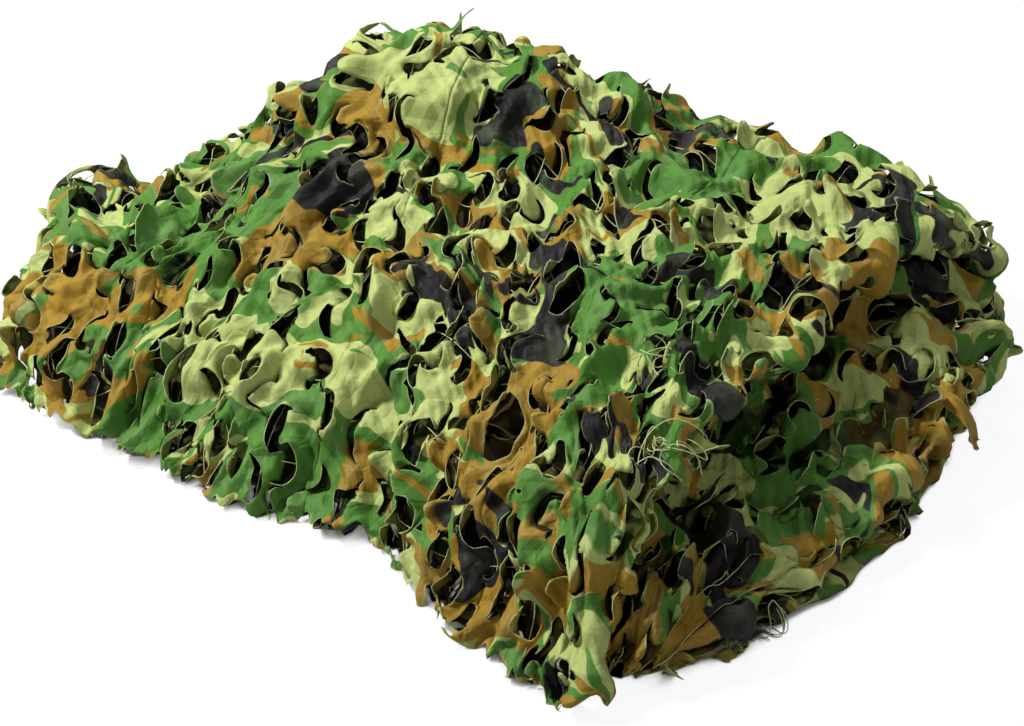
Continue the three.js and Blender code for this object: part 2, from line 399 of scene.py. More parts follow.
class Stretch:
    """A run of the sheet laid flat, with p along it and q across, and the size of its grid. Its
    flat size is full times the size that it is gathered to."""

    def __init__(self, drape, sizes, run):
        self.drape = drape
        self.run = run
        self.full = 1 + (sizes.fullness - 1) * run.wave
        self.p_from = run.start * self.full
        self.p_to = run.end * self.full
        self.nx = round((self.p_to - self.p_from) / run.step)
        widest = drape.girth_at(np.linspace(run.start, run.end, 30)).max()
        self.ny = round(widest * self.full / run.step)

    def width(self, p):
        return self.drape.girth_at(p / self.full) * self.full

    def spot(self, i, j):
        return i * (self.ny + 1) + j


def cut_line(points):
    """A line through a cut's points, nearly straight from one to the next."""
    at = np.linspace(0, len(points) - 1, CUT_SAMPLES)
    smooth = np.column_stack([spline([p[k] for p in points], at) for k in (0, 1)])
    straight = np.column_stack(
        [np.interp(at, np.arange(len(points)), [p[k] for p in points]) for k in (0, 1)])
    return 0.3 * smooth + 0.7 * straight


def leaf_fold(rng, p, q):
    """How a leaf lies: the angle it folds up by, its curl, its twist, how far its slit gapes,
    where its tip bends and by what angle, and the slope of its ridge."""
    calm = 0.5 + 0.5 * math.sin(9 * p + 1.1) * math.sin(11 * q + 3 * p + 0.6)
    up = rng.uniform(*FOLD_UP) * (0.6 + 0.45 * calm)
    angle = math.radians(rng.choice((up, rng.uniform(*FOLD_DOWN)), p=UP_OR_DOWN))
    curl = rng.uniform(-4, 4)
    twist = rng.uniform(-0.6, 0.6)
    gape = rng.uniform(0.3, 1.6)
    bend_at = rng.uniform(5, 15) * MM
    bend = math.radians(rng.uniform(*TIP_BEND))
    ridge = rng.uniform(-0.7, 0.7)
    return angle, curl, twist, gape, bend_at, bend, ridge


def leaf_cuts(sizes, stretch, rng):
    """Each slit of a stretch of cloth: its line (across, along), and how its leaf lies."""
    cuts = []
    first = math.ceil(stretch.p_from / sizes.ribbon + 0.3)
    last = math.floor(stretch.p_to / sizes.ribbon - 0.3)
    shares = np.array([share for _, share, _ in LEAF_CUTS])
    for row in range(first, last + 1):
        p = row * sizes.ribbon
        half_width = stretch.width(p) / 2
        start = (row % 2) * sizes.slit_pitch / 2
        count = int(half_width // sizes.slit_pitch) + 1
        for k in range(-count, count + 1):
            q = start + k * sizes.slit_pitch + rng.uniform(-6, 6) * MM
            _, _, points = LEAF_CUTS[rng.choice(len(LEAF_CUTS), p=shares)]
            size = rng.uniform(0.82, 1.08) * sizes.slit_pitch / CUT_PITCH
            flip = rng.choice((-1, 1), size=2)
            fold = leaf_fold(rng, p, q)
            turn = rng.normal(0, 0.17)
            shift = rng.uniform(-4, 4) * MM
            if abs(q) > half_width + 0.01:
                continue
            line = cut_line(points) * MM * size * flip
            line = line @ np.array([(math.cos(turn), math.sin(turn)), (-math.sin(turn), math.cos(turn))])
            cuts.append((line + (q, p + shift), fold))
    return cuts


def enclosed(points, line):
    """Which points lie between a line and its chord."""
    inside = np.zeros(len(points), dtype=bool)
    x, y = points.T
    for (x0, y0), (x1, y1) in zip(line, np.roll(line, -1, axis=0)):
        if y0 != y1:
            inside ^= ((y0 > y) != (y1 > y)) & (x < x0 + (x1 - x0) * (y - y0) / (y1 - y0))
    return inside


def cut_path(places):
    """Neighbouring grid places along a line, without its loops, and the sample nearest to each."""
    path = []
    picks = []
    seen = {}
    for n, spot in enumerate(map(tuple, np.rint(places).astype(int).tolist())):
        if path and path[-1] == spot:
            picks[-1][1] = n
            continue
        steps = [spot]
        if path and path[-1][0] != spot[0] and path[-1][1] != spot[1]:
            steps.insert(0, (spot[0], path[-1][1]))
        for step in steps:
            if step in seen:
                for gone in path[seen[step] + 1:]:
                    del seen[gone]
                del path[seen[step] + 1:], picks[seen[step] + 1:]
            else:
                seen[step] = len(path)
                path.append(step)
                picks.append([n, n])
    return path, [(a + b) // 2 for a, b in picks]


def neighbour_sum(values, ends):
    """The sum of each vertex's neighbours' values."""
    a, b = ends
    count = len(values)
    return np.column_stack([
        np.bincount(a, weights=values[b, k], minlength=count)
        + np.bincount(b, weights=values[a, k], minlength=count)
        for k in range(values.shape[1])
    ])


def spread(values, fixed, ends, reach_steps, rounds):
    """Values held at some vertices and eased away over the cloth round them."""
    count = len(values)
    degree = np.bincount(ends[0], minlength=count) + np.bincount(ends[1], minlength=count)
    share = 1.0 / (degree + (1.0 / reach_steps) ** 2)
    held = values[fixed]
    for _ in range(rounds):
        values = neighbour_sum(values, ends) * share[:, None]
        values[fixed] = held
    return 0.75 * values + 0.25 * neighbour_sum(values, ends) / degree[:, None]


class CutGrid:
    """The places and cells of a stretch's grid, and the slit or leaf that each belongs to."""

    def __init__(self, stretch):
        self.stretch = stretch
        nx, ny = stretch.nx, stretch.ny
        places = np.stack(np.meshgrid(np.arange(nx + 1), np.arange(ny + 1), indexing="ij"), axis=-1)
        self.places = places.reshape(-1, 2).astype(float)
        self.cell_p = stretch.p_from + (np.arange(nx) + 0.5) / nx * (stretch.p_to - stretch.p_from)
        self.cell_q = ((np.arange(ny) + 0.5) / ny - 0.5) * stretch.width(self.cell_p)[:, None]
        self.slit = np.full(len(self.places), -1)
        self.slit_at = np.zeros(len(self.places))
        self.slit_normal = np.zeros((len(self.places), 2))
        self.cell_leaf = np.full((nx, ny), -1)
        self.taken = np.zeros((nx, ny), dtype=bool)
        self.leaves = []

    def grid_line(self, line):
        """A line of flat places, in steps of the grid."""
        stretch = self.stretch
        return np.column_stack([
            (line[:, 1] - stretch.p_from) / (stretch.p_to - stretch.p_from) * stretch.nx,
            (line[:, 0] / stretch.width(line[:, 1]) + 0.5) * stretch.ny,
        ])

    def cut(self, line, fold):
        """Cuts a slit and marks its leaf. Returns the spots along the slit, or none where it leaves
        the cloth or meets another leaf."""
        nx, ny = self.stretch.nx, self.stretch.ny
        grid_line = self.grid_line(line)
        nearest = np.rint(grid_line)
        within = (nearest >= (1, 0)).all(axis=1) & (nearest <= (nx - 1, ny)).all(axis=1)
        if within.sum() < FEWEST_SAMPLES or np.diff(within.astype(int)).astype(bool).sum() > 1:
            return []
        low = np.clip(np.floor(grid_line.min(axis=0)).astype(int) - 1, 0, (nx, ny))
        high = np.clip(np.ceil(grid_line.max(axis=0)).astype(int) + 1, 0, (nx, ny))
        window = np.s_[low[0]:high[0], low[1]:high[1]]
        near_q = self.cell_q[window]
        near_p = np.broadcast_to(self.cell_p[low[0]:high[0], None], near_q.shape)
        path, picks = cut_path(grid_line[within])
        first = int(np.argmax(within))
        picks = [first + pick for pick in picks]
        ring = np.concatenate([line[:first], line[picks], line[first + within.sum():]])
        inside = enclosed(np.column_stack([near_q.ravel(), near_p.ravel()]), ring).reshape(near_q.shape)
        spots = [self.stretch.spot(i, j) for i, j in path]
        if len(path) < FEWEST_SPOTS or (self.slit[spots] >= 0).any() or self.taken[window][inside].any():
            return []
        tangent = np.gradient(line, axis=0)
        for n, (i, j), pick in zip(spots, path, picks):
            if 0 < j < ny:
                self.places[n] = grid_line[pick]
            self.slit[n] = len(self.leaves)
            self.slit_at[n] = pick / (len(line) - 1)
            self.slit_normal[n] = (-tangent[pick, 1], tangent[pick, 0]) / np.linalg.norm(tangent[pick])
            self.taken[max(0, i - 1):i + 1, max(0, j - 1):j + 1] = True
        self.cell_leaf[window][inside] = len(self.leaves)
        self.taken[window][inside] = True
        self.leaves.append((*line[0], *line[-1], *fold))
        return spots


def flat_grid(stretch):
    """The stretch's grid as a mesh whose vertices know their spot, and the vertex at each spot."""
    bm = bmesh.new()
    bmesh.ops.create_grid(bm, x_segments=stretch.nx, y_segments=stretch.ny, size=0.5)
    spot_layer = bm.verts.layers.int.new("spot")
    corners = {}
    for vertex in bm.verts:
        i = round((vertex.co.x + 0.5) * stretch.nx)
        j = round((vertex.co.y + 0.5) * stretch.ny)
        vertex[spot_layer] = stretch.spot(i, j)
        corners[vertex[spot_layer]] = vertex
    return bm, corners


class FlatCloth:
    """The cut mesh as arrays: its faces and edges, and each vertex's flat place and slit."""

    def __init__(self, bm, grid):
        stretch = grid.stretch
        bm.verts.index_update()
        spot_layer = bm.verts.layers.int["spot"]
        spot = np.array([vertex[spot_layer] for vertex in bm.verts])
        self.faces = np.array([[vertex.index for vertex in face.verts] for face in bm.faces])
        self.ends = np.array([[vertex.index for vertex in edge.verts] for edge in bm.edges]).T
        self.row = grid.places[spot, 0]
        self.p = stretch.p_from + self.row / stretch.nx * (stretch.p_to - stretch.p_from)
        self.q = (grid.places[spot, 1] / stretch.ny - 0.5) * stretch.width(self.p)
        self.flat = np.column_stack([self.q, self.p])
        self.centre = self.flat[self.faces].mean(axis=1)
        cell = spot[self.faces].min(axis=1)
        self.face_leaf = grid.cell_leaf[cell // (stretch.ny + 1), cell % (stretch.ny + 1)]
        self.slit = grid.slit[spot]
        self.slit_at = grid.slit_at[spot]
        self.slit_normal = grid.slit_normal[spot]
        self.leaves = np.array(grid.leaves)


def slit_sides(cloth):
    """On which side of its slit each vertex's cloth lies: 1 or -1 along the slit's normal."""
    corners = cloth.faces.ravel()
    to_centre = np.repeat(cloth.centre, 4, axis=0) - cloth.flat[corners]
    toward = to_centre * cloth.slit_normal[corners]
    return np.sign(sum(
        np.bincount(corners, weights=toward[:, k], minlength=len(cloth.flat)) for k in (0, 1)))


def leaf_lift(sizes, cloth, lively):
    """How far each vertex of a leaf and of a slit moves (across, along, up), and which do."""
    count = len(cloth.flat)
    corners = cloth.faces.ravel()
    own = np.repeat(cloth.face_leaf, 4)
    uses = np.bincount(corners, minlength=count)
    highest = np.full(count, -1)
    np.maximum.at(highest, corners, own)
    leaf = np.where(cloth.slit >= 0, cloth.slit, highest)
    share = np.bincount(corners, weights=own == leaf[corners], minlength=count) / uses
    in_leaf = (leaf >= 0) & (share > np.where(cloth.slit >= 0, SLIT_SHARE, LEAF_SHARE))
    across0, along0, across1, along1, angle, curl, twist, gape, bend_at, bend, ridge = cloth.leaves[leaf].T
    chord = np.column_stack([across1 - across0, along1 - along0])
    length = np.linalg.norm(chord, axis=1)
    hinge = np.column_stack([-chord[:, 1], chord[:, 0]]) / length[:, None]
    from_start = cloth.flat - np.column_stack([across0, along0])
    depth = (from_start * hinge).sum(axis=1)
    beside = (from_start * chord).sum(axis=1) / length**2 - 0.5
    angle = angle * lively * (1 + twist * 2 * beside)
    reach = np.abs(depth)
    root = np.minimum(reach, bend_at)
    tip = reach - root
    tip_angle = angle + bend * lively
    level = root * np.cos(angle) + tip * np.cos(tip_angle)
    values = np.zeros((count, 3))
    values[:, :2] = -hinge * (np.sign(depth) * (reach - level))[:, None]
    values[:, 2] = root * np.sin(angle) + tip * np.sin(tip_angle) + curl * reach**2
    values[:, 2] -= ridge * lively * np.minimum(reach, np.abs(beside) * length)
    slide = np.linalg.norm(values[:, :2], axis=1, keepdims=True)
    values[:, :2] *= np.minimum(1, LONGEST_SLIDE / np.maximum(slide, 1e-9))
    values[:, 2] = np.clip(values[:, 2], DEEPEST_LEAF, sizes.lift * TALLEST_LEAF)

    rim = (cloth.slit >= 0) & ~in_leaf
    opened = np.sin(np.pi * np.clip(cloth.slit_at, 0, 1)) ** 0.7 * lively
    rim_values = np.column_stack([
        cloth.slit_normal * (slit_sides(cloth) * sizes.gape * gape * opened)[:, None],
        SLIT_DIP * opened * np.sign(angle)])
    values[rim] = rim_values[rim]
    return values, in_leaf | rim


def lay_on_heap(stretch, cloth, moved):
    """Where each vertex lies on the folded heap, from its flat place and its leaf's lift."""
    drape, run = stretch.drape, stretch.run
    p, q = cloth.p, cloth.q
    gathers = run.wave > 0
    width = stretch.width(p)
    hem = np.clip(1 - (0.5 * width - np.abs(q)) / HEM_EASE, 0, 1)
    lobes = HEM_DRAWN_IN
    for length, tall, first in HEM_LOBES:
        lobes = lobes + tall * creased(p / length + first)
    to_end = (stretch.nx - cloth.row) * run.step
    settle = np.maximum(hem, np.clip(1 - to_end / END_SETTLE, 0, 1))
    sunk = run.sink * (1 - settle * (run.sink < 0))
    gather = np.maximum(gathered(p, q) * run.wave, DEEPEST_GATHER)
    out_by = gather + GATHER_LIFT * run.wave + moved[:, 2] - sunk
    drawn_in = np.sign(q) * hem**2 * lobes * gathers
    across = (q + moved[:, 0] - drawn_in) / width + 0.5
    to_either_end = np.minimum(cloth.row, stretch.nx - cloth.row) * run.step
    resting = p / stretch.full
    along = resting + moved[:, 1] * np.minimum(1, to_either_end / END_EASE)
    beyond = (across - np.clip(across, 0, 1)) * drape.girth_at(along)
    outward = drape.out(along, across)
    place = drape.place(along, across) + outward * out_by[:, None]
    outward[:, 2] = HEM_TILT
    place += outward * np.minimum(np.abs(beyond), HEM_OVERHANG)[:, None] * gathers
    place[:, 2] = np.maximum(place[:, 2], CLOTH_LOWEST)
    return place


def tone_at(place, dark):
    """How much the print leans to each tone of TONE_PATCHES, in their order, round each place."""
    tones = np.zeros((len(place), len(TONE_PATCHES)))
    for column, patches in enumerate(TONE_PATCHES.values()):
        for x, y, z, reach in patches:
            distance = np.linalg.norm(place - (x, y, z), axis=1)
            tones[:, column] += np.exp(-((distance / reach) ** 2))
    # The run's lean to the dark tone, which on the inner layers is painted shade.
    tones[:, 0] += dark
    return np.clip(tones, 0, 1)


def write_cloth(bm, stretch, cloth, place):
    """Moves the mesh to its place and gives it its flat UV map and the material's values."""
    flat_uv = bm.loops.layers.uv.new("cloth")
    cut_edge = bm.verts.layers.float.new("cut_edge")
    # The depth attribute carries the run's painted shade, which darkens its colour in the material.
    depth = bm.verts.layers.float.new("depth")
    tones = bm.verts.layers.float_color.new("tones")
    patches = tone_at(place, stretch.run.dark)
    rims = (cloth.slit >= 0) | (np.abs(cloth.q) > 0.499 * stretch.width(cloth.p))
    for vertex in bm.verts:
        n = vertex.index
        vertex.co = place[n]
        vertex[cut_edge] = float(rims[n])
        vertex[depth] = stretch.run.painted_shade
        vertex[tones] = patches[n]
    flat_places = (cloth.flat + (0.7, 0.0)).tolist()
    for face in bm.faces:
        face.smooth = True
        for loop in face.loops:
            loop[flat_uv].uv = flat_places[loop.vert.index]


def cut_sheet(drape, sizes, run, seed):
    """A run of the sheet as one mesh, cut into leaves, gathered and laid on the heap, with the flat
    centre and area of each of its faces."""
    stretch = Stretch(drape, sizes, run)
    bm, corners = flat_grid(stretch)
    grid = CutGrid(stretch)
    cuts = leaf_cuts(sizes, stretch, np.random.default_rng(seed)) if run.lively > 0 else []
    split = []
    for line, fold in cuts:
        spots = grid.cut(line, fold)
        for n, m in zip(spots, spots[1:]):
            edge = bm.edges.get((corners[n], corners[m]))
            if edge:
                split.append(edge)
    bmesh.ops.split_edges(bm, edges=split)

    cloth = FlatCloth(bm, grid)
    moved = np.zeros((len(cloth.flat), 3))
    if grid.leaves:
        lifted, fixed = leaf_lift(sizes, cloth, run.lively)
        moved = spread(lifted, fixed, cloth.ends, LEAF_EASE / run.step, EASE_ROUNDS)
    write_cloth(bm, stretch, cloth, lay_on_heap(stretch, cloth, moved))
    along = (stretch.p_to - stretch.p_from) / stretch.nx
    return bm, cloth.centre, along * stretch.width(cloth.centre[:, 1]) / stretch.ny


# ---- Materials ----

def node_group(name, inputs, outputs):
    group = bpy.data.node_groups.new(name, "ShaderNodeTree")
    for label, kind, default in inputs:
        socket = group.interface.new_socket(label, in_out="INPUT", socket_type=kind)
        if default is not None:
            socket.default_value = default
    for label, kind in outputs:
        group.interface.new_socket(label, in_out="OUTPUT", socket_type=kind)
    return group, group.nodes.new("NodeGroupInput"), group.nodes.new("NodeGroupOutput")


def connect(tree, socket, value):
    """Gives a socket a plain value or another node's output."""
    if isinstance(value, bpy.types.NodeSocket):
        tree.links.new(value, socket)
    else:
        socket.default_value = value


def math_node(tree, operation, first, second):
    node = tree.nodes.new("ShaderNodeMath")
    node.operation = operation
    connect(tree, node.inputs[0], first)
    connect(tree, node.inputs[1], second)
    return node.outputs[0]


def plus(tree, value, other, share):
    """value + other * share"""
    return math_node(tree, "ADD", value, math_node(tree, "MULTIPLY", other, share))


def soft_step(tree, value, low, high):
    node = tree.nodes.new("ShaderNodeMapRange")
    node.interpolation_type = "SMOOTHSTEP"
    node.inputs["From Min"].default_value = low
    node.inputs["From Max"].default_value = high
    tree.links.new(value, node.inputs["Value"])
    return node.outputs["Result"]


def noise(tree, vector, scale, detail=2.0, rough=0.5, distortion=0.0):
    node = tree.nodes.new("ShaderNodeTexNoise")
    node.inputs["Scale"].default_value = scale
    node.inputs["Detail"].default_value = detail
    node.inputs["Roughness"].default_value = rough
    node.inputs["Distortion"].default_value = distortion
    tree.links.new(vector, node.inputs["Vector"])
    return node


def mapping(tree, vector, location=(0, 0, 0), turn=0.0, scale=(1, 1, 1)):
    node = tree.nodes.new("ShaderNodeMapping")
    node.inputs["Location"].default_value = location
    node.inputs["Rotation"].default_value = (0, 0, turn)
    node.inputs["Scale"].default_value = scale
    tree.links.new(vector, node.inputs["Vector"])
    return node.outputs["Vector"]


def pushed_by(tree, vector, push, reach):
    """A vector moved by another, times reach."""
    node = tree.nodes.new("ShaderNodeVectorMath")
    node.operation = "MULTIPLY_ADD"
    node.inputs[1].default_value = (reach, reach, 0)
    tree.links.new(push, node.inputs[0])
    tree.links.new(vector, node.inputs[2])
    return node.outputs[0]


def mix_colour(tree, factor, first, second, blend="MIX"):
    node = tree.nodes.new("ShaderNodeMix")
    node.data_type = "RGBA"
    node.blend_type = blend
    connect(tree, node.inputs["Factor"], factor)
    connect(tree, node.inputs[6], first)
    connect(tree, node.inputs[7], second)
    return node.outputs[2]


def woodland_print():
    """The print: four tones in rounded patches that follow the flat cloth."""
    group, given, made = node_group(
        "woodland_print",
        [
            ("Cloth", "NodeSocketVector", None),
            ("Tones", "NodeSocketColor", None),
            ("Green lean", "NodeSocketFloat", 0.0),
            ("Light", "NodeSocketColor", None),
            ("Green", "NodeSocketColor", None),
            ("Brown", "NodeSocketColor", None),
            ("Dark", "NodeSocketColor", None),
        ],
        [("Color", "NodeSocketColor")])
    cloth = given.outputs["Cloth"]
    warp = noise(group, mapping(group, cloth, (3, 1, 0)), 14.0, 1.5)
    centred = group.nodes.new("ShaderNodeVectorMath")
    centred.operation = "SUBTRACT"
    centred.inputs[1].default_value = (0.5, 0.5, 0.5)
    group.links.new(warp.outputs["Color"], centred.inputs[0])
    places = pushed_by(group, cloth, centred.outputs[0], 0.12)
    leans = group.nodes.new("ShaderNodeSeparateColor")
    group.links.new(given.outputs["Tones"], leans.inputs[0])
    dark_lean, brown_lean, light_lean = leans.outputs
    green_lean = given.outputs["Green lean"]

    def patch(location, turn, scale, level, lean, against):
        """A mask of one tone's patches: higher level, smaller patches."""
        at = mapping(group, places, location, turn, scale=(1.5, 0.8, 1))
        value = noise(group, at, scale, detail=1.0, rough=0.4, distortion=0.5).outputs[0]
        value = plus(group, value, lean, 0.26)
        for other in against:
            value = math_node(group, "SUBTRACT", value, math_node(group, "MULTIPLY", other, 0.16))
        return soft_step(group, value, level - 0.006, level + 0.006)

    green = patch((0.3, 2.1, 0), 0.5, 12.8, 0.498, green_lean, (light_lean,))
    brown = patch((5.2, 0.7, 0), -0.6, 13.0, 0.575, brown_lean, (light_lean, green_lean))
    dark = patch((1.7, 7.4, 0), 0.9, 12.5, 0.61, dark_lean, (light_lean, green_lean, brown_lean))
    colour = mix_colour(group, green, given.outputs["Light"], given.outputs["Green"])
    colour = mix_colour(group, brown, colour, given.outputs["Brown"])
    colour = mix_colour(group, dark, colour, given.outputs["Dark"])
    group.links.new(colour, made.inputs["Color"])


def cloth_surface():
    """Worn colour, painted shade deep in the heap, creases and ribs of the thin cloth."""
    group, given, made = node_group(
        "cloth_surface",
        [
            ("Cloth", "NodeSocketVector", None),
            ("Color", "NodeSocketColor", None),
            ("Edge", "NodeSocketFloat", 0.0),
            ("Depth", "NodeSocketFloat", 0.0),
            ("Thread", "NodeSocketColor", None),
        ],
        [("Color", "NodeSocketColor"), ("Roughness", "NodeSocketFloat"), ("Height", "NodeSocketFloat")])
    cloth = given.outputs["Cloth"]
    fade = noise(group, cloth, 26.0, 4.0, 0.6).outputs[0]
    mottle = noise(group, cloth, 160.0, 3.0, 0.6).outputs[0]
    ribs = group.nodes.new("ShaderNodeTexWave")
    ribs.bands_direction = "X"
    ribs.inputs["Scale"].default_value = 210.0
    ribs.inputs["Distortion"].default_value = 0.6
    ribs.inputs["Detail"].default_value = 1.0
    group.links.new(mapping(group, cloth, turn=0.7), ribs.inputs["Vector"])
    rib = ribs.outputs["Fac"]

    # Painted shade: deep in the heap the cloth's colour is darkened, and its blue more, to stand for the
    # shade and the green light bounced between the folds.
    unshaded_share = math_node(group, "SUBTRACT", 1.0, given.outputs["Depth"])
    tone = plus(group, math_node(group, "MULTIPLY", fade, 0.60), mottle, 0.24)
    tone = math_node(group, "MULTIPLY", math_node(group, "ADD", tone, 0.56), unshaded_share)
    painted_shade_blue = math_node(group, "SUBTRACT", 1.0, math_node(group, "MULTIPLY", given.outputs["Depth"], 0.6))
    tone_and_painted_shade = group.nodes.new("ShaderNodeCombineColor")
    group.links.new(tone, tone_and_painted_shade.inputs["Red"])
    group.links.new(tone, tone_and_painted_shade.inputs["Green"])
    group.links.new(math_node(group, "MULTIPLY", tone, painted_shade_blue), tone_and_painted_shade.inputs["Blue"])
    colour = mix_colour(group, 1.0, given.outputs["Color"], tone_and_painted_shade.outputs[0], "MULTIPLY")
    colour = mix_colour(group, math_node(group, "MULTIPLY", rib, 0.05), colour, (0, 0, 0, 1))
    dusty = noise(group, mapping(group, cloth, (4, 9, 0)), 19.0, 3.0, 0.6).outputs[0]
    dust = math_node(group, "MULTIPLY", soft_step(group, dusty, 0.42, 0.75), 0.18)
    colour = mix_colour(group, math_node(group, "MULTIPLY", dust, unshaded_share), colour, (0.2, 0.26, 0.14, 1))
    rim = math_node(group, "MULTIPLY", soft_step(group, given.outputs["Edge"], 0.74, 0.92), 0.3)
    colour = mix_colour(group, rim, colour, given.outputs["Thread"])

    cells = group.nodes.new("ShaderNodeTexVoronoi")
    cells.feature = "DISTANCE_TO_EDGE"
    cells.inputs["Scale"].default_value = 24.0
    wander = noise(group, cloth, 30.0, 2.0).outputs["Color"]
    group.links.new(pushed_by(group, cloth, wander, 0.01), cells.inputs["Vector"])
    crease = soft_step(group, cells.outputs["Distance"], 0.0, 0.07)
    height = math_node(group, "MULTIPLY", crease, 0.16)
    for turn, scale, share in ((0.35, 9.0, 0.8), (1.2, 13.0, 0.55), (2.3, 21.0, 0.45)):
        folds = group.nodes.new("ShaderNodeTexWave")
        folds.wave_profile = "TRI"
        folds.inputs["Scale"].default_value = scale
        folds.inputs["Distortion"].default_value = 2.2
        folds.inputs["Detail"].default_value = 0.0
        folds.inputs["Detail Scale"].default_value = 0.6
        group.links.new(mapping(group, cloth, (scale, 0, 0), turn), folds.inputs["Vector"])
        height = plus(group, height, folds.outputs["Fac"], share)
    height = plus(group, height, fade, 0.35)
    height = plus(group, height, rib, 0.035)
    height = plus(group, height, mottle, 0.16)
    rough = math_node(group, "ADD", math_node(group, "MULTIPLY", fade, 0.22), 0.44)
    group.links.new(colour, made.inputs["Color"])
    group.links.new(rough, made.inputs["Roughness"])
    group.links.new(height, made.inputs["Height"])


def new_material(name):
    """A material, its node tree and its Principled shader."""
    material = bpy.data.materials.new(name)
    material.use_nodes = True
    return material, material.node_tree, material.node_tree.nodes["Principled BSDF"]


def bump_from(tree, shader, height, strength, distance):
    bump = tree.nodes.new("ShaderNodeBump")
    bump.inputs["Strength"].default_value = strength
    bump.inputs["Distance"].default_value = distance
    tree.links.new(height, bump.inputs["Height"])
    tree.links.new(bump.outputs["Normal"], shader.inputs["Normal"])


def named_value(tree, name):
    """The outputs of an attribute of the mesh."""
    node = tree.nodes.new("ShaderNodeAttribute")
    node.attribute_name = name
    return node.outputs


def leaf_cloth(name, colours, tint, lift):
    """Printed cloth; tint and lift turn the printed face into its paler back."""
    _, tree, shader = new_material(name)
    uv = tree.nodes.new("ShaderNodeUVMap")
    uv.uv_map = "cloth"
    tones = named_value(tree, "tones")
    printed = tree.nodes.new("ShaderNodeGroup")
    printed.node_tree = bpy.data.node_groups["woodland_print"]
    tree.links.new(uv.outputs[0], printed.inputs["Cloth"])
    tree.links.new(tones["Color"], printed.inputs["Tones"])
    tree.links.new(tones["Alpha"], printed.inputs["Green lean"])
    print_tones = (
        ("Light", colours.light), ("Green", colours.green), ("Brown", colours.brown), ("Dark", colours.dark))
    for label, colour in print_tones:
        mixed = [c * (1 - lift) + t * lift for c, t in zip(colour, tint)]
        printed.inputs[label].default_value = (*mixed, 1)
    surface = tree.nodes.new("ShaderNodeGroup")
    surface.node_tree = bpy.data.node_groups["cloth_surface"]
    surface.inputs["Thread"].default_value = (*colours.thread, 1)
    tree.links.new(uv.outputs[0], surface.inputs["Cloth"])
    tree.links.new(printed.outputs["Color"], surface.inputs["Color"])
    tree.links.new(named_value(tree, "cut_edge")["Fac"], surface.inputs["Edge"])
    tree.links.new(named_value(tree, "depth")["Fac"], surface.inputs["Depth"])
    tree.links.new(surface.outputs["Color"], shader.inputs["Base Color"])
    tree.links.new(surface.outputs["Roughness"], shader.inputs["Roughness"])
    bump_from(tree, shader, surface.outputs["Height"], strength=0.7, distance=0.004)
    shader.inputs["Sheen Weight"].default_value = 0.008
    shader.inputs["Sheen Roughness"].default_value = 0.4
    shader.inputs["Specular IOR Level"].default_value = 0.1


def thread_material(name, colour):
    """Thread, mottled along its length."""
    _, tree, shader = new_material(name)
    coordinates = tree.nodes.new("ShaderNodeTexCoord")
    twist = noise(tree, coordinates.outputs["Object"], 900.0, 2.0).outputs[0]
    shaded = (*(c * 0.72 for c in colour), 1)
    lit = (*(min(1, c * 1.2) for c in colour), 1)
    tree.links.new(mix_colour(tree, twist, shaded, lit), shader.inputs["Base Color"])
    bump_from(tree, shader, twist, strength=0.4, distance=0.0004)
    shader.inputs["Roughness"].default_value = 0.6


def cloth_materials(colours):
    """Front, back and cut edge of the leaf cloth."""
    if "leaf_cloth_front" not in bpy.data.materials:
        woodland_print()
        cloth_surface()
        leaf_cloth("leaf_cloth_front", colours, tint=(1, 1, 1), lift=0.0)
        leaf_cloth("leaf_cloth_back", colours, tint=(0.34, 0.33, 0.08), lift=0.45)
        thread_material("leaf_cloth_cut_edge", colours.thread)
    return [bpy.data.materials[f"leaf_cloth_{side}"] for side in ("front", "back", "cut_edge")]


# ---- Pieces ----

def finish_cloth(bm, name, thickness, materials):
    """Makes the mesh a piece of thin cloth, and frees it."""
    mesh = bpy.data.meshes.new(name)
    bm.to_mesh(mesh)
    bm.free()
    piece = bpy.data.objects.new(name, mesh)
    bpy.context.collection.objects.link(piece)
    for material in materials:
        mesh.materials.append(material)
    wall = piece.modifiers.new("cloth", "SOLIDIFY")
    wall.thickness = thickness
    wall.offset = 0.0
    wall.material_offset = 1
    wall.material_offset_rim = 2
    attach(piece, "root")
    return piece


def band_of(bm, kept):
    """A copy of the kept faces."""
    part = bm.copy()
    part.faces.ensure_lookup_table()
    gone = [part.faces[n] for n in np.nonzero(~kept)[0]]
    bmesh.ops.delete(part, geom=gone, context="FACES")
    return part


class NET_OT_outer_cloth(bpy.types.Operator):
    """Lays the outer layer of leaf-cut cloth over the heap, and round its rim"""

    bl_idname = "net.outer_cloth"
    bl_label = "Outer cloth"

    def execute(self, context):
        sizes, colours = context.scene.net_sizes, context.scene.net_colours
        drape = Drape()
        start, _ = drape.layer(0)
        inner_start, _ = drape.layer(1)
        run = Run("outer", start, inner_start + 0.05, sizes.mesh_step, wave=1.0, lively=1.0)
        bm, centres, cells = cut_sheet(drape, sizes, run, SEED)
        bounds = np.quantile(centres[:, 1], (0, 0.25, 0.5, 0.75, 1))
        bounds[-1] += 1
        materials = cloth_materials(colours)
        for n in range(4):
            kept = (centres[:, 1] >= bounds[n]) & (centres[:, 1] < bounds[n + 1])
            piece = finish_cloth(band_of(bm, kept), f"leaf_cloth_outer_{n + 1}", sizes.cloth, materials)
            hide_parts("leaf_cut_net")
        bm.free()
        return {"FINISHED"}


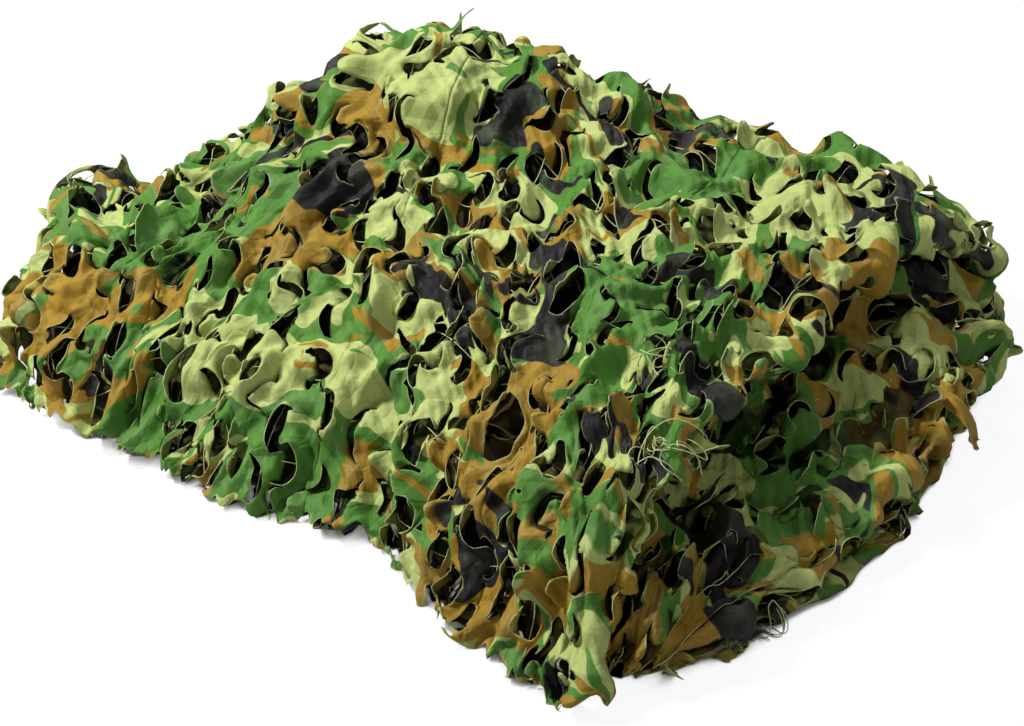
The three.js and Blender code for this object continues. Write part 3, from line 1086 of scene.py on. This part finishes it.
def inner_runs(drape):
    """The inner stretches of the sheet, from just under the outer layer to the lowest."""
    (top, under_end), (roof, _), (_, turn), (below_turn, _), (_, lip), (base, end) = (
        drape.layer(n) for n in range(len(LAYERS)))
    # On the inner runs the darkened colour and the lean to the dark tone are painted shade, so that the gaps
    # between the leaves read as dark.
    return (
        Run("under", top + 0.09, under_end, 0.0070, wave=1.0, lively=0.6, dark=0.35, sink=0.016, painted_shade=0.9),
        Run("roof", roof + 0.05, roof + 0.36, 0.0055, wave=0.7, lively=0.8, dark=0.2, painted_shade=0.8),
        Run("deep_upper", roof + 0.36, turn - 0.42, 0.022, dark=0.3, painted_shade=0.9),
        Run("bed", turn - 0.42, turn - 0.02, 0.0060, wave=0.9, lively=1.0, dark=0.1, painted_shade=0.85),
        Run("deep_lower", below_turn + 0.12, lip - 0.2, 0.022, dark=0.3, painted_shade=0.9),
        Run("rim", turn - 0.06, below_turn + 0.12, 0.0043, wave=1.0, lively=1.5),
        Run("lip", lip - 0.2, base + 0.1, 0.0055, wave=0.5, lively=1.0, painted_shade=0.2),
        Run("base", base + 0.1, end, 0.022, dark=0.3, painted_shade=0.9),
        Run("bed_top", turn - 0.36, turn + 0.004, 0.0050, wave=1.0, lively=1.3, sink=-0.013, painted_shade=0.15),
    )


class NET_OT_inner_folds(bpy.types.Operator):
    """Lays the inner layers, leaf-cut where they show in the hollow"""

    bl_idname = "net.inner_folds"
    bl_label = "Inner folds"

    def execute(self, context):
        sizes, colours = context.scene.net_sizes, context.scene.net_colours
        drape = Drape()
        materials = cloth_materials(colours)
        for n, run in enumerate(inner_runs(drape)):
            bm, centres, cells = cut_sheet(drape, sizes, run, SEED + 7 + n)
            piece = finish_cloth(bm, f"leaf_cloth_{run.name}", sizes.cloth, materials)
            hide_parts("leaf_cut_net")
        return {"FINISHED"}


def threads(name, routes, thickness, material):
    """Thin round threads along routes of points, as one mesh."""
    curve = bpy.data.curves.new(name, "CURVE")
    curve.dimensions = "3D"
    curve.bevel_depth = thickness / 2
    curve.bevel_resolution = 0
    curve.resolution_u = 2
    for route in routes:
        strand = curve.splines.new("NURBS")
        strand.points.add(len(route) - 1)
        strand.points.foreach_set("co", np.column_stack([route, np.ones(len(route))]).ravel())
        strand.use_endpoint_u = True
    holder = bpy.data.objects.new(name, curve)
    bpy.context.collection.objects.link(holder)
    mesh = bpy.data.meshes.new_from_object(holder)
    bpy.data.objects.remove(holder)
    mesh.name = name
    mesh.materials.clear()
    mesh.materials.append(material)
    piece = bpy.data.objects.new(name, mesh)
    bpy.context.collection.objects.link(piece)
    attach(piece, "root")


def net_routes(drape, sizes):
    """The cords of the square net, across the flat cloth and then along it, as places (p, q)."""
    start, end = drape.layer(0)
    full, pitch = sizes.fullness, sizes.cord_pitch
    half = 0.5 * drape.girth.max() * full
    routes = []
    for k in range(math.ceil(start * full / pitch), math.floor(end * full / pitch) + 1):
        p = k * pitch
        wide = 0.5 * drape.girth_at(p / full) * full - CORD_MARGIN
        q = np.arange(-wide, wide, CORD_STEP)
        routes.append((np.full_like(q, p), q))
    for k in range(-int(half / pitch), int(half / pitch) + 1):
        q = k * pitch
        p = np.arange(start * full + CORD_MARGIN, end * full - 0.01, CORD_STEP)
        p = p[abs(q) < 0.5 * drape.girth_at(p / full) * full - CORD_MARGIN]
        if len(p) > 8:
            routes.append((p, np.full_like(p, q)))
    return routes


def on_heap(drape, along, across, off):
    """Points of a cord that stands off the sheet."""
    line = drape.place(along, across) + drape.out(along, across) * off[:, None]
    line[:, 2] = np.maximum(line[:, 2], CORD_LOWEST)
    return line


def loose_loop(drape, rng, layer, past, share, reach):
    """One loop of loose thread, drawn as a drifting turn over the cloth."""
    along = drape.layer(layer)[0] + past + rng.uniform(-0.6, 0.6) * reach
    across = share + rng.uniform(-0.6, 0.6) * reach
    turn = np.linspace(0, rng.uniform(3.5, 7.5), LOOP_POINTS) + rng.uniform(0, 6)
    wide = rng.uniform(0.25, 0.6) * reach
    tall = rng.uniform(0.2, 0.45) * reach
    drift = np.linspace(-0.5, 0.5, LOOP_POINTS) * rng.uniform(-1, 1) * reach
    alongs = along + wide * np.cos(turn) + drift
    acrosses = across + (wide * np.sin(turn) * rng.uniform(0.4, 1) + drift) / 0.9
    off = 0.011 + tall * np.sin(turn + rng.uniform(0, 6)) * 0.7
    return on_heap(drape, alongs, acrosses, off)


class NET_OT_backing_cords(bpy.types.Operator):
    """Strings the square net of cords under the outer cloth, and its loose loops of thread"""

    bl_idname = "net.backing_cords"
    bl_label = "Backing cords"

    def execute(self, context):
        sizes = context.scene.net_sizes
        drape = Drape()
        rng = np.random.default_rng(SEED + 3)
        full = sizes.fullness
        lines = []
        for p, q in net_routes(drape, sizes):
            across = q / (drape.girth_at(p / full) * full) + 0.5
            slack = 0.002 * np.sin(p * 61 + q * 47)
            below = np.maximum(gathered(p, q), DEEPEST_GATHER) - 0.001 + slack
            lines.append(on_heap(drape, p / full, across, below))
        for layer, past, share, reach, count in TANGLES:
            lines += [loose_loop(drape, rng, layer, past, share, reach) for _ in range(count)]
        _, _, thread = cloth_materials(context.scene.net_colours)
        threads("backing_cords", lines, sizes.cord, thread)
        return {"FINISHED"}


# ---- Stage ----

AIM = Vector((0.0, 0.0, 0.12))
# Lamps: name, place, size in metres and power in watts.
LAMPS = (
    ("key", (-1.3, -1.1, 2.3), 0.28, 134.0),
    ("back", (-0.3, 1.3, 2.2), 0.6, 33.0),
    ("front", (0.8, -2.4, 1.5), 0.3, 10.0),
    ("side", (2.2, 0.1, 1.6), 0.25, 15.0),
)
# The camera: its turn and rise in degrees round a target, and how far off it stands.
CAMERA_TURN = 38
CAMERA_RISE = 32
CAMERA_AWAY = 2.0
CAMERA_TARGET = Vector((HEAP_SHIFT[0] * MM, HEAP_SHIFT[1] * MM, 0.079))


def floor_white():
    """Matt floor that the camera sees as white paper, except close under the heap."""
    material, tree, shader = new_material("floor_white")
    shader.inputs["Base Color"].default_value = (0.55, 0.55, 0.55, 1)
    shader.inputs["Roughness"].default_value = 0.8
    paper = tree.nodes.new("ShaderNodeEmission")
    paper.inputs["Strength"].default_value = 1.05
    seen = tree.nodes.new("ShaderNodeLightPath")
    open_sky = tree.nodes.new("ShaderNodeAmbientOcclusion")
    open_sky.inputs["Distance"].default_value = 0.035
    share = math_node(tree, "MULTIPLY", seen.outputs["Is Camera Ray"], 0.88)
    share = math_node(tree, "MULTIPLY", share, soft_step(tree, open_sky.outputs["AO"], 0.3, 0.62))
    mixed = tree.nodes.new("ShaderNodeMixShader")
    tree.links.new(share, mixed.inputs["Fac"])
    tree.links.new(shader.outputs[0], mixed.inputs[1])
    tree.links.new(paper.outputs[0], mixed.inputs[2])
    tree.links.new(mixed.outputs[0], tree.nodes["Material Output"].inputs["Surface"])
    return material


def studio_world():
    """Faint white light all round, on a background that the camera sees as nearly white."""
    world = bpy.data.worlds.new("studio")
    world.use_nodes = True
    tree = world.node_tree
    background = tree.nodes["Background"]
    background.inputs["Color"].default_value = (1, 1, 1, 1)
    sky_ray = tree.nodes.new("ShaderNodeLightPath")
    strength = math_node(tree, "MULTIPLY", sky_ray.outputs["Is Camera Ray"], 0.9)
    strength = math_node(tree, "ADD", strength, 0.015)
    tree.links.new(strength, background.inputs["Strength"])
    return world


class NET_OT_stage(bpy.types.Operator):
    """Sets up the floor, the soft studio light and the camera"""

    bl_idname = "net.stage"
    bl_label = "Stage"

    def execute(self, context):
        bm = bmesh.new()
        bmesh.ops.create_grid(bm, x_segments=1, y_segments=1, size=6)
        mesh = bpy.data.meshes.new("floor")
        bm.to_mesh(mesh)
        bm.free()
        mesh.materials.append(floor_white())
        floor = bpy.data.objects.new("floor", mesh)
        context.collection.objects.link(floor)

        context.scene.world = studio_world()
        for name, place, size, power in LAMPS:
            light = bpy.data.lights.new(name, "AREA")
            light.size = size
            light.energy = power
            lamp = bpy.data.objects.new(name, light)
            lamp.location = place
            lamp.rotation_euler = (AIM - lamp.location).to_track_quat("-Z", "Y").to_euler()
            context.collection.objects.link(lamp)

        camera = bpy.data.cameras.new("camera")
        camera.lens = 70
        camera.sensor_width = 36
        view = bpy.data.objects.new("camera", camera)
        turn, rise = math.radians(CAMERA_TURN), math.radians(CAMERA_RISE)
        back = Vector((math.sin(turn) * math.cos(rise), -math.cos(turn) * math.cos(rise), math.sin(rise)))
        view.location = CAMERA_TARGET + back * CAMERA_AWAY
        view.rotation_euler = (-back).to_track_quat("-Z", "Y").to_euler()
        context.collection.objects.link(view)
        context.scene.camera = view
        context.scene.view_settings.view_transform = "Standard"
        return {"FINISHED"}


# ---- Panel and registration ----

class NET_PT_panel(bpy.types.Panel):
    """Lists the net's sizes, colours and pieces"""

    bl_idname = "NET_PT_panel"
    bl_label = "Camouflage net"
    bl_space_type = "VIEW_3D"
    bl_region_type = "UI"
    bl_category = "Net"

    def draw(self, context):
        for group in (context.scene.net_sizes, context.scene.net_colours):
            for name in group.__annotations__:
                self.layout.prop(group, name)
        for operator in OPERATORS:
            self.layout.operator(operator.bl_idname)


GROUPS = (NetSizes, NetColours)
OPERATORS = (NET_OT_backing_cords, NET_OT_outer_cloth, NET_OT_inner_folds, NET_OT_stage)


def register():
    for item in GROUPS + OPERATORS + (NET_PT_panel,):
        bpy.utils.register_class(item)
    bpy.types.Scene.net_sizes = bpy.props.PointerProperty(type=NetSizes)
    bpy.types.Scene.net_colours = bpy.props.PointerProperty(type=NetColours)


def unregister():
    del bpy.types.Scene.net_colours
    del bpy.types.Scene.net_sizes
    for item in reversed(GROUPS + OPERATORS + (NET_PT_panel,)):
        bpy.utils.unregister_class(item)


def main():
    register()
    bpy.ops.net.backing_cords()
    bpy.ops.net.outer_cloth()
    bpy.ops.net.inner_folds()
    bpy.ops.net.stage()


if __name__ == "__main__":
    main()
